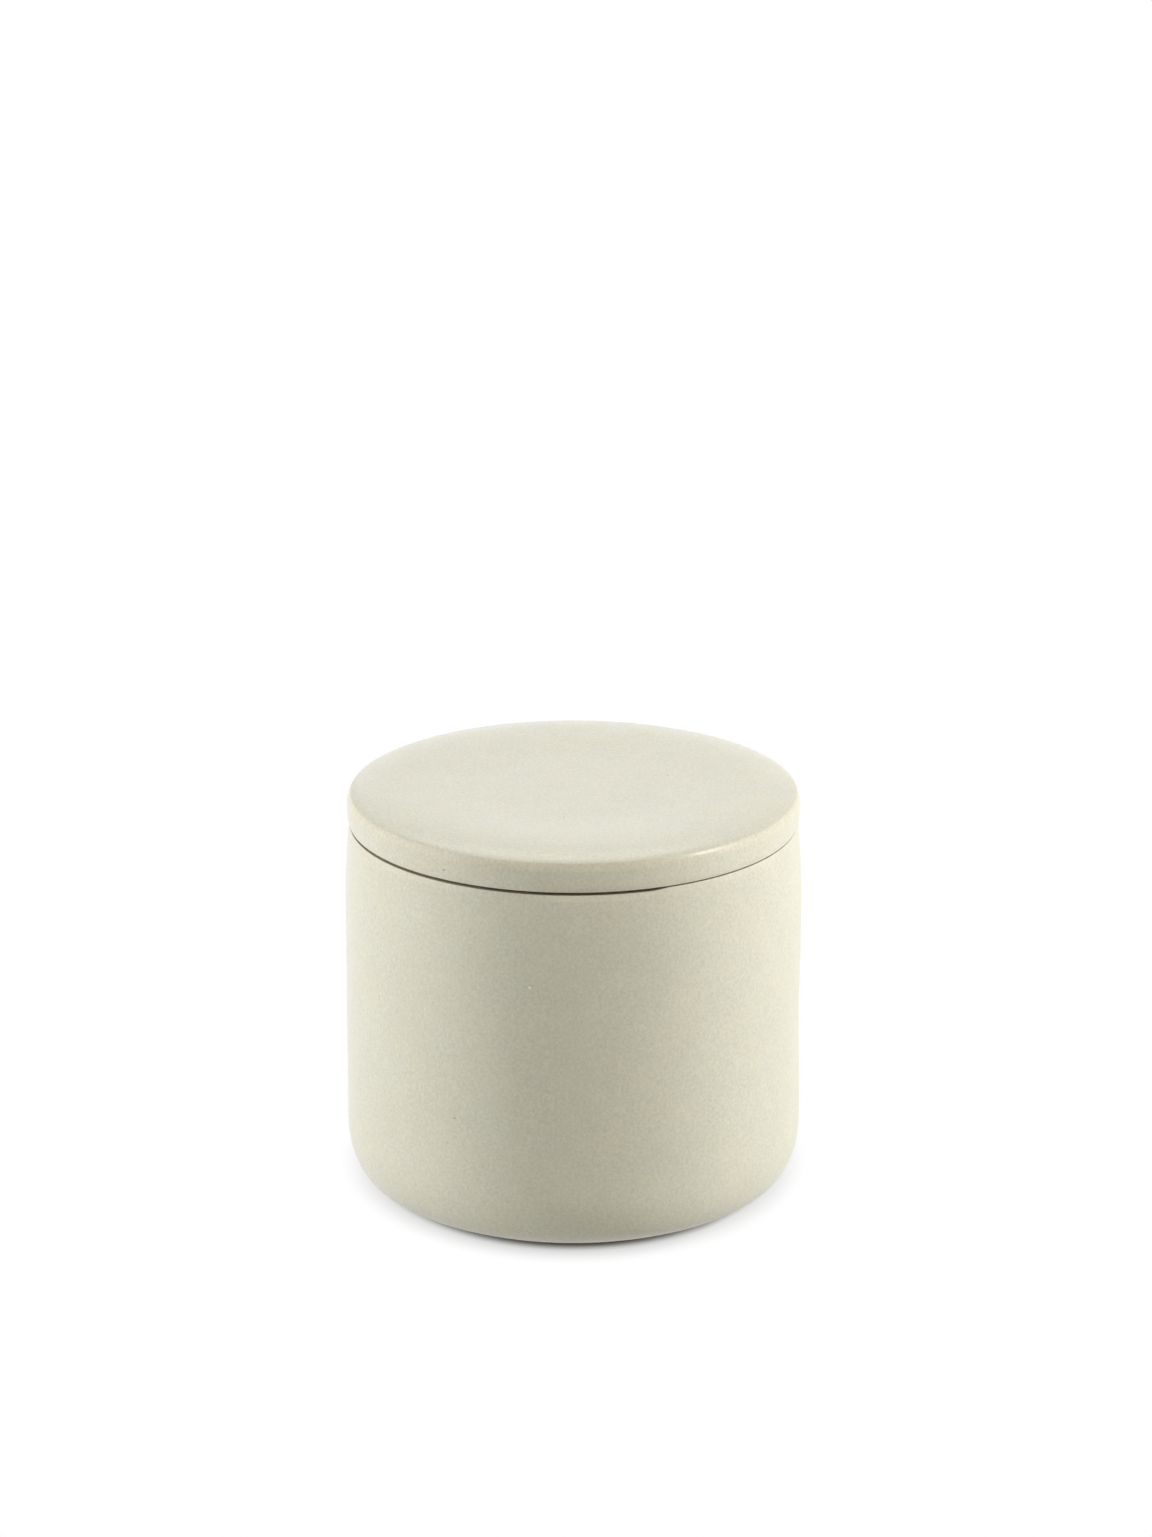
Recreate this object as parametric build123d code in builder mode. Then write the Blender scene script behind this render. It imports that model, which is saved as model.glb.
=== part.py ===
from build123d import *
from math import asin, atan, cos, degrees, radians, sin
import os

# A small stoneware jar with a loose lid. Both pieces are turned about the Z axis.
# The origin is at the centre of the foot ring, on the surface the jar stands on.
# Lengths are in millimetres and angles in degrees.

# Pot, outside
pot_radius = 45.0
pot_height = 78.9
shoulder_height = 18.0
shoulder_draw_in = 0.8
heel_upper_radius = 17.8
heel_upper_turn = 22.0
heel_middle_radius = 9.2
heel_middle_turn = 42.0
heel_lower_radius = 50.0
heel_lower_turn = 14.7

# Pot, foot ring
foot_height = 1.0
foot_taper = 0.3
foot_ring_width = 3.5
recess_depth = 1.0
recess_taper = 0.8
foot_edge_chamfer = 0.2

# Pot, inside and rim
wall = 4.3
floor_thickness = 5.0
inner_heel_radius = 12.0
rim_inner_radius = 0.9
rim_outer_chamfer = 0.5

# Lid, plate
lid_overhang = 0.3
lid_thickness = 7.2
lid_edge_radius = 2.0
lid_brow_radius = 30.0
lid_brow_turn = 12.0
lid_lower_chamfer = 0.35
dish_depth = 0.6
dish_slope_width = 11.0
lid_centre_thickness = 5.0

# Lid, locating flange
flange_clearance = 0.8
flange_depth = 6.0
flange_wall = 3.4
flange_draft = 0.3
flange_tip_chamfer = 1.0
flange_root_chamfer = 1.0


def sagitta(radius, half_chord):
    """How far an arc leaves its tangent over the length half_chord."""
    return radius - (radius**2 - half_chord**2) ** 0.5


def corner(section, across, up):
    """The corner of a section that lies nearest to a point of its plane."""
    return section.vertices().sort_by_distance((across, up))[0]


# The shoulder is one arc, upright where it leaves the wall. The inside runs parallel to it.
shoulder_start = pot_height - shoulder_height
shoulder_radius = (shoulder_height**2 + shoulder_draw_in**2) / (2 * shoulder_draw_in)
inner_shoulder_radius = shoulder_radius - wall
shoulder_turn = degrees(asin(shoulder_height / shoulder_radius))
inner_shoulder_turn = degrees(asin(shoulder_height / inner_shoulder_radius))
inner_radius = pot_radius - wall
rim_radius = pot_radius - shoulder_draw_in
mouth_radius = inner_radius - sagitta(inner_shoulder_radius, shoulder_height)

# The heel is three arcs: one leaves the wall, a tight one turns under and a wide one meets the foot ring.
heel_upper_end = radians(heel_upper_turn)
heel_middle_end = heel_upper_end + radians(heel_middle_turn)
heel_lower_end = heel_middle_end + radians(heel_lower_turn)
heel_upper_drop = heel_upper_radius * sin(heel_upper_end)
heel_middle_drop = heel_middle_radius * (sin(heel_middle_end) - sin(heel_upper_end))
heel_lower_drop = heel_lower_radius * (sin(heel_lower_end) - sin(heel_middle_end))
heel_top = foot_height + heel_upper_drop + heel_middle_drop + heel_lower_drop
floor_level = recess_depth + floor_thickness
floor_radius = inner_radius - inner_heel_radius

with BuildPart() as pot:
    with BuildSketch(Plane.XZ) as pot_section:
        with BuildLine() as pot_outline:
            heel_upper = JernArc((pot_radius, heel_top), (0, -1), heel_upper_radius, -heel_upper_turn)
            heel_middle = JernArc(heel_upper @ 1, heel_upper % 1, heel_middle_radius, -heel_middle_turn)
            heel_lower = JernArc(heel_middle @ 1, heel_middle % 1, heel_lower_radius, -heel_lower_turn)
            foot_radius = (heel_lower @ 1).X - foot_taper
            recess_radius = foot_radius - foot_ring_width
            Polyline(
                heel_lower @ 1,
                (foot_radius, 0),
                (recess_radius, 0),
                (recess_radius - recess_taper, recess_depth),
                (0, recess_depth),
                (0, floor_level),
                (floor_radius, floor_level),
            )
            inner_heel = JernArc((floor_radius, floor_level), (1, 0), inner_heel_radius, 90)
            Line(inner_heel @ 1, (inner_radius, shoulder_start))
            inner_shoulder = JernArc(
                (inner_radius, shoulder_start), (0, 1), inner_shoulder_radius, inner_shoulder_turn
            )
            shoulder = JernArc((pot_radius, shoulder_start), (0, 1), shoulder_radius, shoulder_turn)
            Line(inner_shoulder @ 1, shoulder @ 1)
            Line(shoulder @ 0, heel_upper @ 0)
        make_face()
        fillet(corner(pot_section, mouth_radius, pot_height), radius=rim_inner_radius)
        chamfer(corner(pot_section, rim_radius, pot_height), length=rim_outer_chamfer)
        chamfer(corner(pot_section, foot_radius, 0), length=foot_edge_chamfer)
        chamfer(corner(pot_section, recess_radius, 0), length=foot_edge_chamfer)
    revolve(axis=Axis.Z)

# The lid's plate stands on the rim. Its top is dished and rolls over softly to the edge.
lid_radius = rim_radius + lid_overhang
lid_top = pot_height + lid_thickness
brow_drop = lid_brow_radius * (1 - cos(radians(lid_brow_turn)))
edge_rise = lid_edge_radius * cos(radians(lid_brow_turn))
edge_start = lid_top - brow_drop - edge_rise
dish_turn = 2 * degrees(atan(dish_depth / dish_slope_width))
dish_curve_radius = dish_slope_width / (2 * sin(radians(dish_turn)))
dish_level = lid_top - dish_depth
underside_level = dish_level - lid_centre_thickness

# The flange hangs inside the mouth and keeps the lid central.
flange_radius = mouth_radius - flange_clearance
flange_inner_radius = flange_radius - flange_wall
flange_tip = pot_height - flange_depth

with BuildPart() as lid:
    with BuildSketch(Plane.XZ) as lid_section:
        with BuildLine() as lid_outline:
            edge = JernArc((lid_radius, edge_start), (0, 1), lid_edge_radius, 90 - lid_brow_turn)
            brow = JernArc(edge @ 1, edge % 1, lid_brow_radius, lid_brow_turn)
            dish_crest = JernArc(brow @ 1, brow % 1, dish_curve_radius, dish_turn)
            dish_trough = JernArc(dish_crest @ 1, dish_crest % 1, dish_curve_radius, -dish_turn)
            Polyline(
                dish_trough @ 1,
                (0, dish_level),
                (0, underside_level),
                (flange_inner_radius, underside_level),
                (flange_inner_radius + flange_draft, flange_tip),
                (flange_radius - flange_draft, flange_tip),
                (flange_radius, pot_height),
                (lid_radius, pot_height),
                edge @ 0,
            )
        make_face()
        chamfer(corner(lid_section, lid_radius, pot_height), length=lid_lower_chamfer)
        chamfer(corner(lid_section, flange_inner_radius, underside_level), length=flange_root_chamfer)
        flange_tip_corners = lid_section.vertices().group_by(Axis.Y)[0]
        chamfer(flange_tip_corners, length=flange_tip_chamfer)
    revolve(axis=Axis.Z)

pot.part.label = "pot"
lid.part.label = "lid"

os.makedirs("parts", exist_ok=True)
export_step(pot.part, "parts/pot.step")
export_step(lid.part, "parts/lid.step")
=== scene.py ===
import logging
import math
from dataclasses import dataclass, field
from enum import Enum

import bpy
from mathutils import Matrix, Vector


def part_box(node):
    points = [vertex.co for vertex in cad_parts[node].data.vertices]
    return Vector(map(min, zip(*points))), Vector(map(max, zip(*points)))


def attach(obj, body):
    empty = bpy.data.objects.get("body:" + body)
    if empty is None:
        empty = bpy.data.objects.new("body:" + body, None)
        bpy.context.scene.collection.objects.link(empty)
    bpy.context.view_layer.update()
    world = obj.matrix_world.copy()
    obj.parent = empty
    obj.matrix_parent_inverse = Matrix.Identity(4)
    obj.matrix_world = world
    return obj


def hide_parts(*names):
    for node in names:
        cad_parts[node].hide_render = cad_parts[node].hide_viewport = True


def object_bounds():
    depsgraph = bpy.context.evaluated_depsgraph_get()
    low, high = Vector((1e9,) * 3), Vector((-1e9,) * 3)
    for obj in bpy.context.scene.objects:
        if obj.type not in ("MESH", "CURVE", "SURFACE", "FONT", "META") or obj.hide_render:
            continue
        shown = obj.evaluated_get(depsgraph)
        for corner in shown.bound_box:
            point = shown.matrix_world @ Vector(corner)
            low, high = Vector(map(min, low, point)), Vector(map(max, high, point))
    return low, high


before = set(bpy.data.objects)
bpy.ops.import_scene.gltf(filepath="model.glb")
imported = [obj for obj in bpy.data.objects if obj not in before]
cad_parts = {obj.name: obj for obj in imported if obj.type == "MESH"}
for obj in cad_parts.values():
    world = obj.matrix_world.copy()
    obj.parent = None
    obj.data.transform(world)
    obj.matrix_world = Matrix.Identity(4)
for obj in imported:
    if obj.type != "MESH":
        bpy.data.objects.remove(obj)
cad_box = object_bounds()

# The looks of a small lidded stoneware jar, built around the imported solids. Lengths are in metres, with
# MM to write them in millimetres, and angles in degrees. The jar stands on z = 0 and +Z is its axis.
LOG = logging.getLogger("jar")
MM = 0.001
NOISE_MEAN = 0.5
MIX_COLOUR_INPUTS = (6, 7)
MIX_COLOUR_OUTPUT = 2
WHITE = (1.0, 1.0, 1.0, 1.0)
Colour = tuple[float, float, float]
Place = tuple[float, float, float]


class Cover(Enum):
    """What covers a stretch of an outline, as the share of bare clay that shows."""

    GLAZED = 0.0
    SHEER = 0.28
    THIN = 0.4
    BARE = 1.0


class Layer(Enum):
    """The noises of the finish, each with the offset that makes it differ from the others."""

    BASE = 0.0
    BLOTCH = 0.3
    GRAIN = 0.7
    HUE = 1.1
    CLAY_FLECK = 2.3
    SATIN = 3.1
    PEEL = 4.3
    TOOTH = 5.9
    CLAY_GRAIN = 6.7


# Shader graphs


class Signal:
    """One value in a shader graph. Arithmetic on it adds Math nodes."""

    def __init__(self, graph: "ShaderGraph", socket: bpy.types.NodeSocket) -> None:
        """Wraps a socket of a graph."""
        self.graph = graph
        self.socket = socket

    def _math(self, operation: str, *values: "Signal | float") -> "Signal":
        """Adds a Math node that takes the values in order."""
        return self.graph.node("ShaderNodeMath", {"operation": operation}, dict(enumerate(values)))

    def __add__(self, other: "Signal | float") -> "Signal":
        """The sum."""
        return self._math("ADD", self, other)

    def __sub__(self, other: "Signal | float") -> "Signal":
        """The difference."""
        return self._math("SUBTRACT", self, other)

    def __rsub__(self, other: float) -> "Signal":
        """A number less this value."""
        return self._math("SUBTRACT", other, self)

    def __mul__(self, other: "Signal | float") -> "Signal":
        """The product."""
        return self._math("MULTIPLY", self, other)

    __radd__ = __add__
    __rmul__ = __mul__

    def highest(self, other: "Signal | float") -> "Signal":
        """The larger of two values."""
        return self._math("MAXIMUM", self, other)

    def rise(self, start: float, end: float) -> "Signal":
        """Goes smoothly from 0 to 1.

        Args:
            start: The value at which the result leaves 0. It may be above end, for a fall.
            end: The value at which the result reaches 1.

        Returns:
            The smooth step.
        """
        settings = {"interpolation_type": "SMOOTHSTEP"}
        return self.graph.node(
            "ShaderNodeMapRange", settings, {"Value": self, "From Min": start, "From Max": end}
        )


class ShaderGraph:
    """The node tree of a material or of the world, emptied and ready for a new graph."""

    def __init__(self, tree: bpy.types.NodeTree) -> None:
        """Empties the tree."""
        self.tree = tree
        tree.nodes.clear()

    def node(
        self,
        kind: str,
        settings: dict[str, object] | None = None,
        values: "dict[int | str, Signal | float | tuple] | None" = None,
        output: int | str = 0,
    ) -> Signal:
        """Adds a node.

        Args:
            kind: The node's type, such as "ShaderNodeMath".
            settings: Its properties, set before its sockets are used.
            values: A number, colour or Signal for each input, by name or index.
            output: The output that the rest of the graph reads.

        Returns:
            That output.
        """
        made = self.tree.nodes.new(kind)
        for name, value in (settings or {}).items():
            setattr(made, name, value)
        for key, value in (values or {}).items():
            if isinstance(value, Signal):
                self.tree.links.new(value.socket, made.inputs[key])
            else:
                made.inputs[key].default_value = value
        return Signal(self, made.outputs[output] if made.outputs else made.inputs[0])

    def noise(self, spot: Signal, feature: float, detail: float, layer: Layer) -> Signal:
        """Soft noise round 0.

        Args:
            spot: The coordinates.
            feature: The size of a feature, in metres.
            detail: How many finer octaves are added.
            layer: Which of the finish's noises it is.

        Returns:
            A value that stays mostly between -0.5 and 0.5.
        """
        offset = (layer.value,) * 3
        moved = self.node("ShaderNodeVectorMath", {"operation": "ADD"}, {0: spot, 1: offset})
        found = self.node(
            "ShaderNodeTexNoise", None, {"Vector": moved, "Scale": 1 / feature, "Detail": detail}
        )
        return found - NOISE_MEAN

    def distance(self, spot: Signal, centre: Place) -> Signal:
        """How far the coordinates are from a place."""
        return self.node("ShaderNodeVectorMath", {"operation": "DISTANCE"}, {0: spot, 1: centre}, "Value")

    def mix(self, share: Signal, first: "Signal | Colour", second: "Signal | Colour") -> Signal:
        """Mixes two colours.

        Args:
            share: The share of the second colour, from 0 to 1.
            first: The colour at 0.
            second: The colour at 1.

        Returns:
            The mixed colour.
        """
        ends = [c if isinstance(c, Signal) else (*c, 1.0) for c in (first, second)]
        settings = {"data_type": "RGBA", "clamp_factor": True}
        values = {0: share, **dict(zip(MIX_COLOUR_INPUTS, ends))}
        return self.node("ShaderNodeMix", settings, values, MIX_COLOUR_OUTPUT)

    def tint(self, colour: Signal, strength: Signal) -> Signal:
        """A colour times a value."""
        return self.node("ShaderNodeVectorMath", {"operation": "SCALE"}, {0: colour, "Scale": strength})


# Finishes


@dataclass(frozen=True)
class Flaw:
    """A pinhole or a grain in the glaze, where the photographed jar has one.

    Attributes:
        place: Its centre on the piece, in millimetres.
        radius: Its radius, in millimetres.
        tone: Below 0 a dark pinhole, whose darker tone is partly painted shade in its pit; above 0 a pale
            grain, which on the lid's raised bump is partly a painted highlight.
    """

    place: Place
    radius: float = 0.3
    tone: float = -0.5


@dataclass(frozen=True)
class Glaze:
    """A semi-matte grey-green glaze with a fine grain.

    Attributes:
        colour: Its mean colour.
        warm: The warmest colour that it drifts to.
        cool: The coolest colour that it drifts to.
        over_edge: Its colour where it runs thin over an edge and the clay shows through.
        over_edge_share: How much of that colour shows there at most.
        cloud: The size of its slow clouds.
        blotch: The size of its blotches.
        grain: The size of its grain.
        cloud_strength: How much the clouds change the tone.
        blotch_strength: How much the blotches change the tone.
        grain_strength: How much the grain changes the tone.
        hue_stretch: How much larger the drift of its hue is than the blotches.
        hue_grain: How much the grain adds to that drift.
        hue_spread: How far the drift goes to reach the warmest or the coolest colour.
        roughness: Its mean roughness.
        roughness_spread: How much the roughness varies.
        ior: Its index of refraction.
        gloss: Its specular level.
        peel: The size of its soft waves.
        peel_depth: How deep they are.
        tooth: The size of its fine relief.
        tooth_depth: How deep that is.
        speck_cell: The distance between the scattered specks.
        speck_radius: Their radius.
        speck_tone: How much they change the tone.
        flaw_core: The share of a flaw's radius within which it has its full tone.
        flaw_roughness: How much rougher than the glaze a pinhole is.
        flaw_depth: How deep a pinhole is.
    """

    colour: Colour = (0.625, 0.603, 0.470)
    warm: Colour = (0.631, 0.605, 0.461)
    cool: Colour = (0.619, 0.601, 0.479)
    over_edge: Colour = (0.665, 0.590, 0.405)
    over_edge_share: float = 0.65
    cloud: float = 19 * MM
    blotch: float = 4.5 * MM
    grain: float = 0.55 * MM
    cloud_strength: float = 0.07
    blotch_strength: float = 0.07
    grain_strength: float = 0.40
    hue_stretch: float = 1.7
    hue_grain: float = 0.3
    hue_spread: float = 0.22
    roughness: float = 0.32
    roughness_spread: float = 0.14
    ior: float = 1.5
    gloss: float = 0.35
    peel: float = 1.3 * MM
    peel_depth: float = 0.014 * MM
    tooth: float = 0.45 * MM
    tooth_depth: float = 0.012 * MM
    speck_cell: float = 5 * MM
    speck_radius: float = 0.2 * MM
    speck_tone: float = -0.2
    flaw_core: float = 0.3
    flaw_roughness: float = 0.4
    flaw_depth: float = 0.08 * MM


@dataclass(frozen=True)
class BareClay:
    """Fired stoneware without glaze.

    Attributes:
        colour: Its colour.
        fleck: The colour of its darkest flecks.
        fleck_stretch: How much larger the flecks are than the grain.
        fleck_spread: How far the noise goes to reach the fleck's colour.
        roughness: Its roughness.
        grain: The size of its grain.
        grain_depth: How deep the grain is.
    """

    colour: Colour = (0.42, 0.37, 0.30)
    fleck: Colour = (0.32, 0.275, 0.22)
    fleck_stretch: float = 2.0
    fleck_spread: float = 0.3
    roughness: float = 0.88
    grain: float = 0.6 * MM
    grain_depth: float = 0.02 * MM


@dataclass(frozen=True)
class Stoneware:
    """Glazed stoneware whose clay shows where a piece's outline says so.

    Attributes:
        glaze: The glaze.
        clay: The clay under it.
        attribute: The vertex attribute that holds the share of bare clay.
        ragged: How much noise makes the glaze's edges uneven.
        ragged_size: The size of that noise.
        thin_start: The share of bare clay at which the glaze starts to look thin.
        thin_end: The share at which it looks thinnest.
        bare_start: The share at which the glaze starts to end.
        bare_end: The share from which only clay shows.
    """

    glaze: Glaze = Glaze()
    clay: BareClay = BareClay()
    attribute: str = "bare_clay"
    ragged: float = 0.8
    ragged_size: float = 1.6 * MM
    thin_start: float = 0.1
    thin_end: float = 0.55
    bare_start: float = 0.6
    bare_end: float = 0.75

    def material(self, name: str, flaws: tuple[Flaw, ...]) -> bpy.types.Material:
        """Makes the material of one piece.

        Args:
            name: The material's name.
            flaws: The flaws of this piece's glaze.

        Returns:
            The material.
        """
        material = bpy.data.materials.new(name)
        material.use_nodes = True
        graph = ShaderGraph(material.node_tree)
        spot = graph.node("ShaderNodeTexCoord", output="Object")
        cover = graph.node("ShaderNodeAttribute", {"attribute_name": self.attribute}, output="Fac")
        edge = cover * (1 + self.ragged * graph.noise(spot, self.ragged_size, 3, Layer.BASE))
        bare = edge.rise(self.bare_start, self.bare_end)
        thin = edge.rise(self.thin_start, self.thin_end)
        mark = self._flaws(graph, spot, flaws)
        colour = self._glaze_colour(graph, spot, thin, mark)
        colour = graph.mix(bare, colour, self._clay_colour(graph, spot))
        surface = graph.node(
            "ShaderNodeBsdfPrincipled",
            None,
            {
                "Base Color": colour,
                "Roughness": self._roughness(graph, spot, bare, mark),
                "Normal": self._relief(graph, spot, bare, mark),
                "IOR": self.glaze.ior,
                "Specular IOR Level": self.glaze.gloss,
            },
        )
        graph.node("ShaderNodeOutputMaterial", None, {"Surface": surface})
        return material

    def _flaws(self, graph: ShaderGraph, spot: Signal, flaws: tuple[Flaw, ...]) -> Signal:
        """The placed flaws and a thin scatter of specks.

        Args:
            graph: The material's graph.
            spot: The coordinates.
            flaws: The placed flaws.

        Returns:
            A tone that is 0 where the glaze has neither, below 0 in dark ones and above 0 in pale ones.
        """
        glaze = self.glaze
        cells = {"Vector": spot, "Scale": 1 / glaze.speck_cell}
        distance = graph.node("ShaderNodeTexVoronoi", None, cells, "Distance")
        found = glaze.speck_tone * distance.rise(glaze.speck_radius / glaze.speck_cell, 0.0)
        # A dark flaw's tone is partly the clay in its pit and partly painted shade in it.
        for flaw in flaws:
            away = graph.distance(spot, tuple(c * MM for c in flaw.place))
            core = glaze.flaw_core * flaw.radius * MM
            found = found + flaw.tone * away.rise(flaw.radius * MM, core)
        return found

    def _glaze_colour(self, graph: ShaderGraph, spot: Signal, thin: Signal, mark: Signal) -> Signal:
        """Clouds, blotches and grain, warmer where the glaze runs thin over an edge.

        Args:
            graph: The material's graph.
            spot: The coordinates.
            thin: How thin the glaze is, from 0 to 1.
            mark: The tone of the flaws.

        Returns:
            The glaze's colour.
        """
        glaze = self.glaze
        cloud = graph.noise(spot, glaze.cloud, 2, Layer.BASE)
        blotch = graph.noise(spot, glaze.blotch, 3, Layer.BLOTCH)
        grain = graph.noise(spot, glaze.grain, 3, Layer.GRAIN)
        drift = graph.noise(spot, glaze.blotch * glaze.hue_stretch, 3, Layer.HUE) + glaze.hue_grain * grain
        colour = graph.mix(drift.rise(0.0, glaze.hue_spread), glaze.colour, glaze.warm)
        colour = graph.mix(drift.rise(0.0, -glaze.hue_spread), colour, glaze.cool)
        colour = graph.mix(thin * glaze.over_edge_share, colour, glaze.over_edge)
        tone = 1 + glaze.cloud_strength * cloud + glaze.blotch_strength * blotch
        # The flaws' tone darkens or lightens the glaze here: partly painted shade in the pits, and a painted
        # highlight on the lid's raised bump.
        return graph.tint(colour, tone + glaze.grain_strength * grain + mark)

    def _clay_colour(self, graph: ShaderGraph, spot: Signal) -> Signal:
        """Bare clay with darker flecks."""
        fleck = graph.noise(spot, self.clay.grain * self.clay.fleck_stretch, 3, Layer.CLAY_FLECK)
        return graph.mix(fleck.rise(0.0, self.clay.fleck_spread), self.clay.colour, self.clay.fleck)

    def _roughness(self, graph: ShaderGraph, spot: Signal, bare: Signal, mark: Signal) -> Signal:
        """Glaze that varies softly, rough clay, and rough pinholes.

        Args:
            graph: The material's graph.
            spot: The coordinates.
            bare: Where the clay is bare, from 0 to 1.
            mark: The tone of the flaws.

        Returns:
            The roughness.
        """
        glaze = self.glaze
        wander = graph.noise(spot, glaze.blotch, 4, Layer.SATIN)
        satin = glaze.roughness + glaze.roughness_spread * wander
        return satin + bare * (self.clay.roughness - satin) - mark * glaze.flaw_roughness

    def _relief(self, graph: ShaderGraph, spot: Signal, bare: Signal, mark: Signal) -> Signal:
        """The glaze's soft waves and fine tooth, the clay's grain, and the flaws' pits.

        Args:
            graph: The material's graph.
            spot: The coordinates.
            bare: Where the clay is bare, from 0 to 1.
            mark: The tone of the flaws.

        Returns:
            The normal.
        """
        glaze, clay = self.glaze, self.clay
        peel = glaze.peel_depth * graph.noise(spot, glaze.peel, 1, Layer.PEEL)
        tooth = glaze.tooth_depth * graph.noise(spot, glaze.tooth, 2, Layer.TOOTH)
        grain = clay.grain_depth * graph.noise(spot, clay.grain, 3, Layer.CLAY_GRAIN)
        height = (peel + tooth) * (1 - bare) + grain * bare + mark * glaze.flaw_depth
        return graph.node("ShaderNodeBump", None, {"Strength": 1.0, "Distance": 1.0, "Height": height})


# Turned pieces


@dataclass
class Outline:
    """Half of a turned section, drawn from its first point. Heading 0 is outward and 90 is up.

    Attributes:
        across: How far the pen is from the axis.
        up: The pen's height.
        heading: Where the pen is going, in degrees.
        spacing: The longest step on a straight run.
        arc_step: The largest turn between two points of an arc, in degrees.
        support: The length of a straight run's first and last step, which keep its shading flat.
        support_share: The largest share of the run that such a step takes.
        points: Distance from the axis, height and cover of each point so far.
    """

    across: float
    up: float
    heading: float = 0.0
    spacing: float = 1.6 * MM
    arc_step: float = 6.0
    support: float = 0.2 * MM
    support_share: float = 0.25
    points: list[tuple[float, float, float]] = field(default_factory=list)

    def mark(self, cover: Cover) -> None:
        """Adds the pen's place to the points."""
        self.points.append((self.across, self.up, cover.value))

    def run(self, length: float, cover: Cover) -> None:
        """Draws straight ahead.

        Args:
            length: How far.
            cover: What covers the run.
        """
        ahead = Vector((math.cos(math.radians(self.heading)), math.sin(math.radians(self.heading))))
        start = Vector((self.across, self.up))
        steps = max(1, math.ceil(length / self.spacing))
        support = min(self.support, length * self.support_share)
        stops = {support, length - support, *(length * k / steps for k in range(1, steps + 1))}
        for stop in sorted(stops):
            self.across, self.up = start + ahead * stop
            self.mark(cover)

    def turn(self, radius: float, angle: float, cover: Cover, used: float = 0.0) -> None:
        """Draws an arc.

        Args:
            radius: The arc's radius.
            angle: The change of heading in degrees, positive to the left.
            cover: What covers the arc.
            used: The length of the arc that the rounding of the corner before it has taken.
        """
        side = math.copysign(1.0, angle)
        skipped = side * math.degrees(used / radius)
        self.heading += skipped
        angle -= skipped
        first = math.radians(self.heading)
        inward, upward = -side * radius * math.sin(first), side * radius * math.cos(first)
        centre = Vector((self.across + inward, self.up + upward))
        steps_by_turn = math.ceil(abs(angle) / self.arc_step)
        steps_by_length = math.ceil(math.radians(abs(angle)) * radius / self.spacing)
        steps = max(1, steps_by_turn, steps_by_length)
        for k in range(1, steps + 1):
            now = first + math.radians(angle) * k / steps
            self.across = centre.x + side * radius * math.sin(now)
            self.up = centre.y - side * radius * math.cos(now)
            self.mark(cover)
        self.heading += angle

    def ahead(self, up: float) -> float:
        """How far from the axis the pen would be at a height, if it went straight on."""
        return self.across + (up - self.up) / math.tan(math.radians(self.heading))

    def corner(
        self, across: float, up: float, radius: float, heading: float, cover: Cover, bend: Cover
    ) -> float:
        """Draws towards a corner and rounds it.

        Args:
            across: The corner's distance from the axis.
            up: The corner's height.
            radius: The radius of the rounding.
            heading: The heading after the corner.
            cover: What covers the straight run.
            bend: What covers the rounding.

        Returns:
            How far past the corner the rounding ends.
        """
        way = Vector((across - self.across, up - self.up))
        self.heading = math.degrees(math.atan2(way.y, way.x))
        angle = (heading - self.heading + 180) % 360 - 180
        taken = radius * math.tan(math.radians(abs(angle) / 2))
        self.run(way.length - taken, cover)
        self.turn(radius, angle, bend)
        return taken


@dataclass(frozen=True)
class Seam:
    """The fine gap that shows between the lid and the rim, outside the faces that touch.

    Attributes:
        gap: Its height.
        lid_share: The share of the gap that is cut from the lid. The rest is cut from the rim.
        depth: How far in it goes.
        step: The width of the slope up or down to the faces that touch.
    """

    gap: float = 0.6 * MM
    lid_share: float = 0.14
    depth: float = 2.4 * MM
    step: float = 0.3 * MM

    def draw(self, path: Outline, seat: float) -> None:
        """Draws in from the edge to the face that touches.

        Args:
            path: The outline, at the edge and heading for the axis.
            seat: The height of the face that touches.
        """
        path.run(self.depth, Cover.BARE)
        path.heading = math.degrees(math.atan2(seat - path.up, -self.step))
        path.run(math.hypot(seat - path.up, self.step), Cover.BARE)


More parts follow.
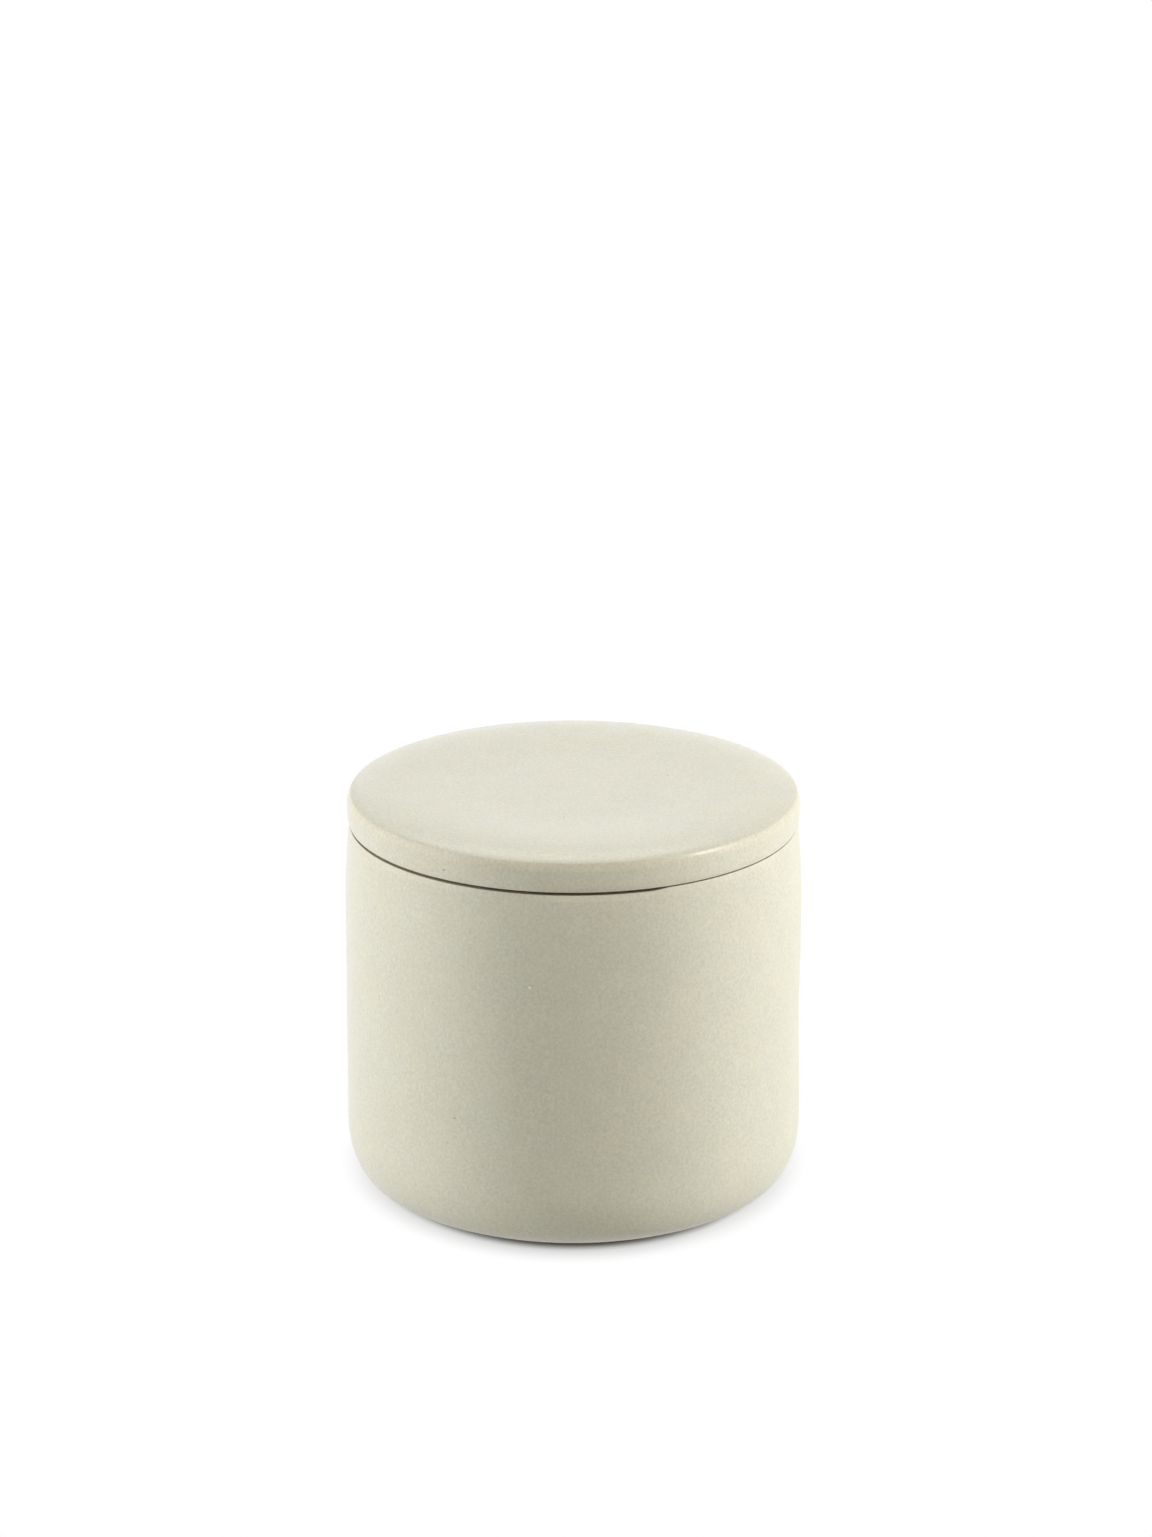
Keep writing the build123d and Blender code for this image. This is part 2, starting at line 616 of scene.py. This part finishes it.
@dataclass
class TurnedPiece:
    """A piece of the jar that is spun from its outline and stands for a CAD node.

    Attributes:
        name: The piece's name.
        node: The CAD node that it stands for, and the body that it rides on.
        slot: The record's material slot. It is not used.
        spin_steps: How many copies of the outline make the round.
        seed_size: The size of the plane that is merged into the outline's first vertex.
        merge_distance: How near to each other vertices are merged after the spin.
        flaws: The flaws of its glaze.
    """

    name: str
    node: str
    slot: str = "glazed_stoneware"
    spin_steps: int = 192
    seed_size: float = 1 * MM
    merge_distance: float = 0.001 * MM
    flaws: tuple[Flaw, ...] = ()

    def outline(self) -> Outline:
        """The piece's half section, from axis to axis."""
        raise NotImplementedError

    def shape(self, piece: bpy.types.Object) -> None:
        """Takes the spun piece a little out of true, as fired clay is."""

    def make(self, finish: Stoneware) -> bpy.types.Object:
        """Builds the piece, dresses it and ties it to the frame.

        Args:
            finish: The finish of the jar.

        Returns:
            The finished object.
        """
        piece = self._spin(self.outline(), finish.attribute)
        self.shape(piece)
        piece.data.materials.append(finish.material(f"{self.name}_finish", self.flaws))
        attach(piece, self.node)
        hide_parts(self.node)
        return piece

    def _spin(self, outline: Outline, attribute: str) -> bpy.types.Object:
        """Extrudes one vertex along the outline and spins it about the axis.

        Args:
            outline: The outline.
            attribute: The name of the vertex attribute that keeps the outline's cover.

        Returns:
            The turned piece.
        """
        bpy.ops.object.select_all(action="DESELECT")
        across, up, _ = outline.points[0]
        bpy.ops.mesh.primitive_plane_add(size=self.seed_size, location=(across, 0, up))
        bpy.ops.object.transform_apply(location=True)
        piece = bpy.context.active_object
        piece.name = piece.data.name = self.name
        bpy.ops.object.mode_set(mode="EDIT")
        bpy.ops.mesh.merge(type="CENTER")
        for before, after in zip(outline.points, outline.points[1:]):
            step = (after[0] - before[0], 0, after[1] - before[1])
            bpy.ops.mesh.extrude_region_move(TRANSFORM_OT_translate={"value": step})
        bpy.ops.object.mode_set(mode="OBJECT")
        cover = piece.data.attributes.new(attribute, "FLOAT", "POINT")
        cover.data.foreach_set("value", [point[2] for point in outline.points])
        bpy.ops.object.mode_set(mode="EDIT")
        bpy.ops.mesh.select_all(action="SELECT")
        bpy.ops.mesh.spin(steps=self.spin_steps, angle=math.tau, center=(0, 0, 0), axis=(0, 0, 1))
        bpy.ops.mesh.select_all(action="SELECT")
        bpy.ops.mesh.remove_doubles(threshold=self.merge_distance)
        bpy.ops.mesh.normals_make_consistent(inside=False)
        bpy.ops.object.mode_set(mode="OBJECT")
        bpy.ops.object.shade_smooth()
        return piece

    def nudge(self, piece: bpy.types.Object, place: Place, move: Place, reach: float) -> None:
        """Pulls the surface at a place, and less and less of what lies round it.

        Args:
            piece: The piece.
            place: The place, in millimetres.
            move: How far the surface moves there, in millimetres.
            reach: How far the pull is felt, in millimetres.
        """
        target = Vector(place) * MM
        vertices = piece.data.vertices
        nearest = min(range(len(vertices)), key=lambda k: (vertices[k].co - target).length_squared)
        bpy.ops.object.mode_set(mode="EDIT")
        bpy.ops.mesh.select_all(action="DESELECT")
        bpy.ops.object.mode_set(mode="OBJECT")
        vertices[nearest].select = True
        bpy.ops.object.mode_set(mode="EDIT")
        bpy.ops.transform.translate(
            value=tuple(m * MM for m in move),
            use_proportional_edit=True,
            proportional_edit_falloff="SMOOTH",
            proportional_size=reach * MM,
            use_proportional_connected=True,
        )
        bpy.ops.mesh.select_all(action="DESELECT")
        bpy.ops.object.mode_set(mode="OBJECT")


@dataclass
class Pot(TurnedPiece):
    """The pot: straight wall, shoulder that leans in, rounded heel, low foot ring and glazed inside.

    Attributes:
        shoulder_height: How far below the rim the shoulder starts.
        shoulder_draw_in: How far it leans in.
        heel_upper_radius: The radius of the arc that leaves the wall.
        heel_upper_turn: How far that arc turns, in degrees.
        heel_middle_radius: The radius of the arc that turns under.
        heel_middle_turn: How far that arc turns, in degrees.
        heel_lower_radius: The radius of the arc that meets the foot ring.
        heel_lower_turn: How far that arc turns, in degrees.
        foot_height: The height of the foot ring.
        foot_taper: How far the ring narrows to the floor.
        foot_ring_width: The width of the ring.
        foot_rounding: The radius of the ring's edges.
        recess_depth: The depth of the recess inside the ring.
        recess_taper: How far the recess widens to the floor.
        recess_rounding: The radius of the recess's inner corner.
        wall: The thickness of the wall.
        floor_thickness: The thickness of the floor.
        inner_heel_radius: The radius between wall and floor, inside.
        rim_inner_radius: The radius of the rim's inner edge.
        rim_drop: How far below the rim the shoulder starts to round over.
        rim_soft_radius: The radius of the first, soft part of that rounding.
        rim_soft_turn: How far it turns, in degrees.
        rim_brow_radius: The radius of the second part.
        rim_brow_turn: How far it turns, in degrees.
        rim_outer_radius: The radius of the rim's outer edge.
        seam: The gap under the lid.
        dent_place: The middle of the wall's dent, in millimetres.
        dent_move: How far the wall moves there, in millimetres.
        dent_reach: How far round it the wall moves too, in millimetres.
        lift_radius: How far from the axis the rim's edge is lifted, in millimetres.
        lift_first: The first step of the spin, counted from the viewer's side, at which it is lifted.
        lift_last: The last such step.
        lift_stride: The number of steps from one lift to the next.
        lift_move: How far the edge moves, in millimetres.
    """

    name: str = "glazed_pot"
    node: str = "pot"
    flaws: tuple[Flaw, ...] = (
        # The first two make a short incised dash; their dark tone is painted shade in the groove.
        Flaw((-37.7, -24.5, 50.8), 0.35, -0.2),
        Flaw((-37.8, -24.4, 50.2), 0.35, -0.2),
        Flaw((-23.0, -38.7, 30.9)),
        Flaw((11.7, -43.5, 63.8), 0.25, -0.3),
        Flaw((-18.9, -40.9, 43.6), 0.25, -0.2),
        Flaw((-24.4, -37.8, 25.4), 0.25, -0.25),
        Flaw((-19.5, -36.1, 10.3)),
        Flaw((26.7, -33.0, 12.8)),
        Flaw((-8.4, -44.2, 59.8), 0.35, 0.6),
    )
    shoulder_height: float = 18.0 * MM
    shoulder_draw_in: float = 0.8 * MM
    heel_upper_radius: float = 17.8 * MM
    heel_upper_turn: float = 22.0
    heel_middle_radius: float = 9.2 * MM
    heel_middle_turn: float = 42.0
    heel_lower_radius: float = 50.0 * MM
    heel_lower_turn: float = 14.7
    foot_height: float = 1.0 * MM
    foot_taper: float = 0.3 * MM
    foot_ring_width: float = 3.5 * MM
    foot_rounding: float = 0.22 * MM
    recess_depth: float = 1.0 * MM
    recess_taper: float = 0.8 * MM
    recess_rounding: float = 0.5 * MM
    wall: float = 4.3 * MM
    floor_thickness: float = 5.0 * MM
    inner_heel_radius: float = 12.0 * MM
    rim_inner_radius: float = 0.9 * MM
    rim_drop: float = 2.0 * MM
    rim_soft_radius: float = 4.0 * MM
    rim_soft_turn: float = 5.0
    rim_brow_radius: float = 1.2 * MM
    rim_brow_turn: float = 5.0
    rim_outer_radius: float = 0.1 * MM
    seam: Seam = Seam()
    dent_place: Place = (45.0, 0.0, 38.5)
    dent_move: Place = (-0.28, 0.0, 0.0)
    dent_reach: float = 17.0
    lift_radius: float = 43.9
    lift_first: int = 13
    lift_last: int = 51
    lift_stride: int = 2
    lift_move: Place = (0.0, 0.0, 0.34)

    def shape(self, piece: bpy.types.Object) -> None:
        """Presses the wall in and lifts the rim's edge a little on the right, as in the photographed jar.

        Args:
            piece: The turned pot.
        """
        self.nudge(piece, self.dent_place, self.dent_move, self.dent_reach)
        _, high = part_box(self.node)
        reach = self.lift_stride * math.tau * self.lift_radius / self.spin_steps
        for step in range(self.lift_first, self.lift_last + 1, self.lift_stride):
            around = math.tau * step / self.spin_steps
            edge = (
                self.lift_radius * math.sin(around),
                -self.lift_radius * math.cos(around),
                (high.z - self.seam.gap * (1 - self.seam.lid_share)) / MM,
            )
            self.nudge(piece, edge, self.lift_move, reach)

    def outline(self) -> Outline:
        """Draws the half section.

        Returns:
            The outline, from the middle of the recess round the outside to the middle of the floor.
        """
        _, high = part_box(self.node)
        radius, height = high.x, high.z
        shoulder_radius = (self.shoulder_height**2 + self.shoulder_draw_in**2) / (2 * self.shoulder_draw_in)
        rim_radius = radius - self.shoulder_draw_in
        inner_radius = radius - self.wall
        inner_shoulder = shoulder_radius - self.wall
        inner_turn = math.degrees(math.asin(self.shoulder_height / inner_shoulder))
        mouth_radius = inner_radius - inner_shoulder * (1 - math.cos(math.radians(inner_turn)))
        heel = (
            (self.heel_lower_radius, self.heel_lower_turn),
            (self.heel_middle_radius, self.heel_middle_turn),
            (self.heel_upper_radius, self.heel_upper_turn),
        )
        foot_heading = heading = 90 - sum(turn for _, turn in heel)
        foot_radius = radius - self.foot_taper
        for arc, turn in heel:
            foot_radius -= arc * (math.sin(math.radians(heading + turn)) - math.sin(math.radians(heading)))
            heading += turn
        recess_radius = foot_radius - self.foot_ring_width
        recess_slope = -math.degrees(math.atan2(self.recess_depth, self.recess_taper))
        foot_slope = math.degrees(math.atan2(self.foot_height, self.foot_taper))

        path = Outline(0.0, self.recess_depth)
        path.mark(Cover.GLAZED)
        recess_edge = recess_radius - self.recess_taper
        path.corner(
            recess_edge, self.recess_depth, self.recess_rounding, recess_slope, Cover.GLAZED, Cover.THIN
        )
        path.corner(recess_radius, 0.0, self.foot_rounding, 0.0, Cover.BARE, Cover.BARE)
        path.corner(foot_radius, 0.0, self.foot_rounding, foot_slope, Cover.BARE, Cover.BARE)
        foot_top = foot_radius + self.foot_taper
        used = path.corner(
            foot_top, self.foot_height, self.foot_rounding, foot_heading, Cover.BARE, Cover.THIN
        )
        for arc, turn in heel:
            path.turn(arc, turn, Cover.GLAZED, used)
            used = 0.0
        path.run(height - self.shoulder_height - path.up, Cover.GLAZED)
        lean = math.degrees(math.asin((self.shoulder_height - self.rim_drop) / shoulder_radius))
        path.turn(shoulder_radius, lean, Cover.GLAZED)
        path.turn(self.rim_soft_radius, self.rim_soft_turn, Cover.SHEER)
        path.turn(self.rim_brow_radius, self.rim_brow_turn, Cover.THIN)
        edge = height - self.seam.gap * (1 - self.seam.lid_share)
        path.corner(path.ahead(edge), edge, self.rim_outer_radius, 180.0, Cover.GLAZED, Cover.THIN)
        self.seam.draw(path, height)
        used = path.corner(
            mouth_radius, height, self.rim_inner_radius, 270.0 + inner_turn, Cover.BARE, Cover.THIN
        )
        path.turn(inner_shoulder, -inner_turn, Cover.GLAZED, used)
        path.run(path.up - self.recess_depth - self.floor_thickness - self.inner_heel_radius, Cover.GLAZED)
        path.turn(self.inner_heel_radius, -90.0, Cover.GLAZED)
        path.run(path.across, Cover.GLAZED)
        return path


@dataclass
class Lid(TurnedPiece):
    """The lid: a slab with a dished top and a soft edge, and the flange that keeps it central.

    Attributes:
        rim_level: The height of the rim that it stands on.
        dish_depth: The depth of the dished top.
        dish_slope_width: The width of the slope down into it.
        brow_radius: The radius of the wide arc that leaves the top.
        brow_turn: How far that arc turns, in degrees.
        shoulder_radius: The radius of the arc after it.
        shoulder_turn: How far that arc turns, in degrees.
        crease_radius: The radius of the fine crease that catches the light.
        crease_turn: How far the crease turns, in degrees.
        edge_radius: The radius of the arc from the crease to the upright edge.
        lower_soft_rise: How far above the rim the edge starts to draw in.
        lower_soft_radius: The radius of the arc that draws it in.
        lower_soft_turn: How far that arc turns, in degrees.
        lower_rounding: The radius of the lower edge.
        seam: The gap over the rim.
        centre_thickness: The thickness in the middle of the dish.
        flange_radius: The outer radius of the flange.
        flange_wall: The thickness of the flange.
        flange_draft: How far each of its sides leans in to its tip.
        flange_tip_radius: The radius of the tip's edges.
        flange_root_radius: The radius between flange and underside, inside.
        seat_corner_radius: The radius between flange and seat, outside.
    """

    name: str = "glazed_lid"
    node: str = "lid"
    flaws: tuple[Flaw, ...] = (
        Flaw((-24.7, -36.8, 81.1), 0.4, -0.6),
        Flaw((-1.9, -18.6, 85.5)),
        Flaw((12.6, -19.2, 85.5)),
        Flaw((18.5, 7.1, 85.5)),
        Flaw((39.9, 7.7, 86.0), 0.3, -0.35),
        Flaw((39.6, -1.0, 86.0), 0.3, -0.35),
        Flaw((-1.0, 26.7, 85.5)),
        Flaw((-15.8, 25.4, 85.5)),
        Flaw((-27.8, 4.6, 85.55), 0.3, -0.3),
        Flaw((-27.3, -18.6, 85.6), 0.3, -0.3),
        Flaw((-19.8, -13.2, 85.5), 0.3, -0.3),
        Flaw((-28.1, -7.7, 85.6), 0.3, -0.3),
        # A raised glaze bump whose pale tone is partly a painted highlight on it.
        Flaw((-19.5, -24.6, 85.6), 0.5, 0.3),
    )
    rim_level: float = 78.9 * MM
    dish_depth: float = 0.6 * MM
    dish_slope_width: float = 20.0 * MM
    brow_radius: float = 30.0 * MM
    brow_turn: float = 12.0
    shoulder_radius: float = 6.0 * MM
    shoulder_turn: float = 16.0
    crease_radius: float = 0.4 * MM
    crease_turn: float = 24.0
    edge_radius: float = 2.8 * MM
    lower_soft_rise: float = 2.0 * MM
    lower_soft_radius: float = 5.0 * MM
    lower_soft_turn: float = 20.0
    lower_rounding: float = 0.25 * MM
    seam: Seam = Seam()
    centre_thickness: float = 5.0 * MM
    flange_radius: float = 39.08 * MM
    flange_wall: float = 3.4 * MM
    flange_draft: float = 0.3 * MM
    flange_tip_radius: float = 1.2 * MM
    flange_root_radius: float = 1.2 * MM
    seat_corner_radius: float = 0.3 * MM

    def outline(self) -> Outline:
        """Draws the half section.

        Returns:
            The outline, from the middle of the dish round the edge to the middle of the underside.
        """
        low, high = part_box(self.node)
        radius, top, tip = high.x, high.z, low.z
        dish_turn = 2 * math.degrees(math.atan(self.dish_depth / self.dish_slope_width))
        dish_radius = self.dish_slope_width / (2 * math.sin(math.radians(dish_turn)))
        roll = (
            (self.brow_radius, self.brow_turn, Cover.GLAZED),
            (self.shoulder_radius, self.shoulder_turn, Cover.GLAZED),
            (self.crease_radius, self.crease_turn, Cover.THIN),
            (self.edge_radius, 90.0 - self.brow_turn - self.shoulder_turn - self.crease_turn, Cover.SHEER),
        )
        brow_start, slope = radius, 0.0
        for arc, turn, _ in roll:
            brow_start -= arc * (math.sin(math.radians(slope + turn)) - math.sin(math.radians(slope)))
            slope += turn
        dish_level = top - self.dish_depth
        underside = dish_level - self.centre_thickness
        inner = self.flange_radius - self.flange_wall
        down = 180.0 + math.degrees(math.atan2(self.rim_level - tip, self.flange_draft))
        back_up = 180.0 - math.degrees(math.atan2(underside - tip, self.flange_draft))

        path = Outline(0.0, dish_level)
        path.mark(Cover.GLAZED)
        path.run(brow_start - self.dish_slope_width, Cover.GLAZED)
        path.turn(dish_radius, dish_turn, Cover.GLAZED)
        path.turn(dish_radius, -dish_turn, Cover.GLAZED)
        for arc, turn, cover in roll:
            path.turn(arc, -turn, cover)
        path.run(path.up - self.rim_level - self.lower_soft_rise, Cover.GLAZED)
        path.turn(self.lower_soft_radius, -self.lower_soft_turn, Cover.GLAZED)
        edge = self.rim_level + self.seam.gap * self.seam.lid_share
        path.corner(path.ahead(edge), edge, self.lower_rounding, -180.0, Cover.GLAZED, Cover.THIN)
        self.seam.draw(path, self.rim_level)
        path.corner(self.flange_radius, self.rim_level, self.seat_corner_radius, down, Cover.BARE, Cover.BARE)
        outer_tip = self.flange_radius - self.flange_draft
        path.corner(outer_tip, tip, self.flange_tip_radius, 180.0, Cover.BARE, Cover.BARE)
        path.corner(inner + self.flange_draft, tip, self.flange_tip_radius, back_up, Cover.BARE, Cover.THIN)
        path.corner(inner, underside, self.flange_root_radius, 180.0, Cover.GLAZED, Cover.GLAZED)
        path.run(path.across, Cover.GLAZED)
        return path


# Studio


@dataclass(frozen=True)
class Softbox:
    """A soft lamp that hangs round the jar and faces it.

    Attributes:
        name: The lamp's name.
        azimuth: Where it hangs: 0 is the viewer's side, 90 the right and 180 behind.
        elevation: Its angle above the floor.
        width: Its width.
        height: Its height.
        power: Its power, in watts.
        colour: Its colour.
        mirrored: Whether the glaze mirrors it.
        distance: Its distance from the middle of the jar.
    """

    name: str
    azimuth: float
    elevation: float
    width: float
    height: float
    power: float
    colour: Colour = (1.0, 1.0, 1.0)
    mirrored: bool = True
    distance: float = 0.8

    def hang(self, target: Vector) -> None:
        """Hangs the lamp so that the camera doesn't see it.

        Args:
            target: The place that it faces.
        """
        around, above = math.radians(self.azimuth), math.radians(self.elevation)
        level = math.cos(above)
        away = Vector((math.sin(around) * level, -math.cos(around) * level, math.sin(above)))
        bpy.ops.object.light_add(type="AREA", location=target + away * self.distance)
        lamp = bpy.context.active_object
        lamp.name = lamp.data.name = self.name
        lamp.rotation_euler = away.to_track_quat("Z", "Y").to_euler()
        lamp.data.shape = "RECTANGLE"
        lamp.data.size, lamp.data.size_y = self.width, self.height
        lamp.data.energy = self.power
        lamp.data.color = self.colour
        lamp.visible_camera = False
        lamp.visible_glossy = self.mirrored


@dataclass
class Studio:
    """A white table that runs on into a white background, and the soft lamps round the jar.

    Attributes:
        floor_radius: The radius of the table.
        floor_sides: The number of its sides.
        floor_albedo: How much light it gives back, as a grey.
        floor_look: Its colour to the camera.
        fade_stretch: The scale of each axis that makes the fade an oval.
        fade_centre: The middle of that oval, once it is scaled.
        fade_start: How far from there both stages of the fade to white start.
        fade_near_end: How far from there the first stage ends.
        fade_far_end: How far from there the second stage ends.
        fade_near_share: The share of the fade that the first stage makes.
        fill: The strength of the background as a light.
        lamps: The lamps.
    """

    floor_radius: float = 6.0
    floor_sides: int = 128
    floor_albedo: float = 0.5
    floor_look: Colour = (0.505, 0.49, 0.47)
    fade_stretch: Place = (1.0, 0.833, 1.0)
    fade_centre: Place = (0.0, 15.8 * MM, 0.0)
    fade_start: float = 38.75 * MM
    fade_near_end: float = 42.2 * MM
    fade_far_end: float = 48.0 * MM
    fade_near_share: float = 0.56
    fill: float = 0.005
    lamps: tuple[Softbox, ...] = (
        Softbox(
            "left_softbox",
            azimuth=-87,
            elevation=8,
            width=0.75,
            height=0.70,
            power=9.0,
            colour=(0.975, 0.99, 1.07),
            mirrored=False,
        ),
        Softbox("left_overhead", azimuth=-76, elevation=42, width=0.90, height=0.60, power=1.35),
        Softbox(
            "right_softbox",
            azimuth=90,
            elevation=14,
            width=0.55,
            height=0.62,
            power=5.65,
            colour=(0.98, 0.99, 1.06),
            mirrored=False,
        ),
        Softbox("right_highlight", azimuth=74, elevation=33, width=0.08, height=0.08, power=2.5),
        Softbox("overhead_softbox", azimuth=184, elevation=57, width=0.46, height=0.50, power=2.02),
        Softbox("back_softbox", azimuth=180, elevation=16, width=0.42, height=0.42, power=0.36),
        Softbox(
            "front_fill",
            azimuth=6,
            elevation=8,
            width=0.60,
            height=0.42,
            power=1.1,
            colour=(1.01, 0.99, 0.80),
        ),
    )

    def build(self) -> None:
        """Makes the table, the background and the lamps."""
        self._table()
        self._background()
        middle = Vector((0.0, 0.0, (cad_box[0].z + cad_box[1].z) / 2))
        for softbox in self.lamps:
            softbox.hang(middle)

    @staticmethod
    def _seen(graph: ShaderGraph) -> Signal:
        """Tells what the camera sees from what only lights the jar.

        Args:
            graph: The graph of the table or of the background.

        Returns:
            1 where the camera sees a thing, also in gloss or through glass, and 0 for light itself.
        """
        kinds = ("Is Camera Ray", "Is Glossy Ray", "Is Transmission Ray")
        straight, mirrored, through = (graph.node("ShaderNodeLightPath", output=kind) for kind in kinds)
        return straight.highest(mirrored).highest(through)

    def _table(self) -> None:
        """Makes the table, which stays out of the part."""
        bpy.ops.object.select_all(action="DESELECT")
        bpy.ops.mesh.primitive_circle_add(
            vertices=self.floor_sides, radius=self.floor_radius, fill_type="NGON"
        )
        table = bpy.context.active_object
        table.name = table.data.name = "white_table"
        table.data.materials.append(self._paper())

    def _paper(self) -> bpy.types.Material:
        """Makes the table's paper.

        Returns:
            Lit paper near the jar, a little warmer to the camera, that fades into pure white.
        """
        material = bpy.data.materials.new("white_table_paper")
        material.use_nodes = True
        graph = ShaderGraph(material.node_tree)
        spot = graph.node("ShaderNodeTexCoord", output="Object")
        seen = self._seen(graph)
        stretch = {0: spot, 1: self.fade_stretch}
        oval = graph.node("ShaderNodeVectorMath", {"operation": "MULTIPLY"}, stretch)
        away = graph.distance(oval, self.fade_centre)
        near = self.fade_near_share * away.rise(self.fade_start, self.fade_near_end)
        far = (1 - self.fade_near_share) * away.rise(self.fade_start, self.fade_far_end)
        albedo = graph.mix(seen, (self.floor_albedo,) * 3, self.floor_look)
        paper = graph.node("ShaderNodeBsdfDiffuse", None, {"Color": albedo})
        white = graph.node("ShaderNodeEmission", None, {"Color": WHITE, "Strength": 1.0})
        surface = graph.node("ShaderNodeMixShader", None, {0: seen * (near + far), 1: paper, 2: white})
        graph.node("ShaderNodeOutputMaterial", None, {"Surface": surface})
        return material

    def _background(self) -> None:
        """Makes a world that is white to look at and dim as a light."""
        world = bpy.data.worlds.new("white_background")
        bpy.context.scene.world = world
        world.use_nodes = True
        graph = ShaderGraph(world.node_tree)
        strength = self.fill + self._seen(graph) * (1 - self.fill)
        sky = graph.node("ShaderNodeBackground", None, {"Color": WHITE, "Strength": strength})
        graph.node("ShaderNodeOutputWorld", None, {"Surface": sky})


@dataclass
class PhotoCamera:
    """The camera at the photograph's viewing angle.

    Attributes:
        location: Where it stands.
        tilt: Its angle from straight down, in degrees.
        lens: Its focal length, in millimetres.
        sensor: The width of its sensor, in millimetres.
    """

    location: Place = (0.47 * MM, -1200 * MM, 488.7 * MM)
    tilt: float = 71.59
    lens: float = 150.95
    sensor: float = 36.0

    def build(self) -> None:
        """Makes the camera and sets it as the scene's."""
        bpy.ops.object.camera_add(location=self.location, rotation=(math.radians(self.tilt), 0, 0))
        camera = bpy.context.active_object
        camera.name = camera.data.name = "photo_camera"
        camera.data.sensor_width = self.sensor
        camera.data.lens = self.lens
        bpy.context.scene.camera = camera


def main() -> None:
    """Builds the jar piece by piece, then the studio and the camera."""
    logging.basicConfig(level=logging.INFO, format="%(message)s")
    finish = Stoneware()
    for piece in (Pot(), Lid()):
        made = piece.make(finish)
        LOG.info("%s: %d vertices on body %s", made.name, len(made.data.vertices), piece.node)
    Studio().build()
    PhotoCamera().build()
    bpy.context.scene.view_settings.view_transform = "Standard"


if __name__ == "__main__":
    main()
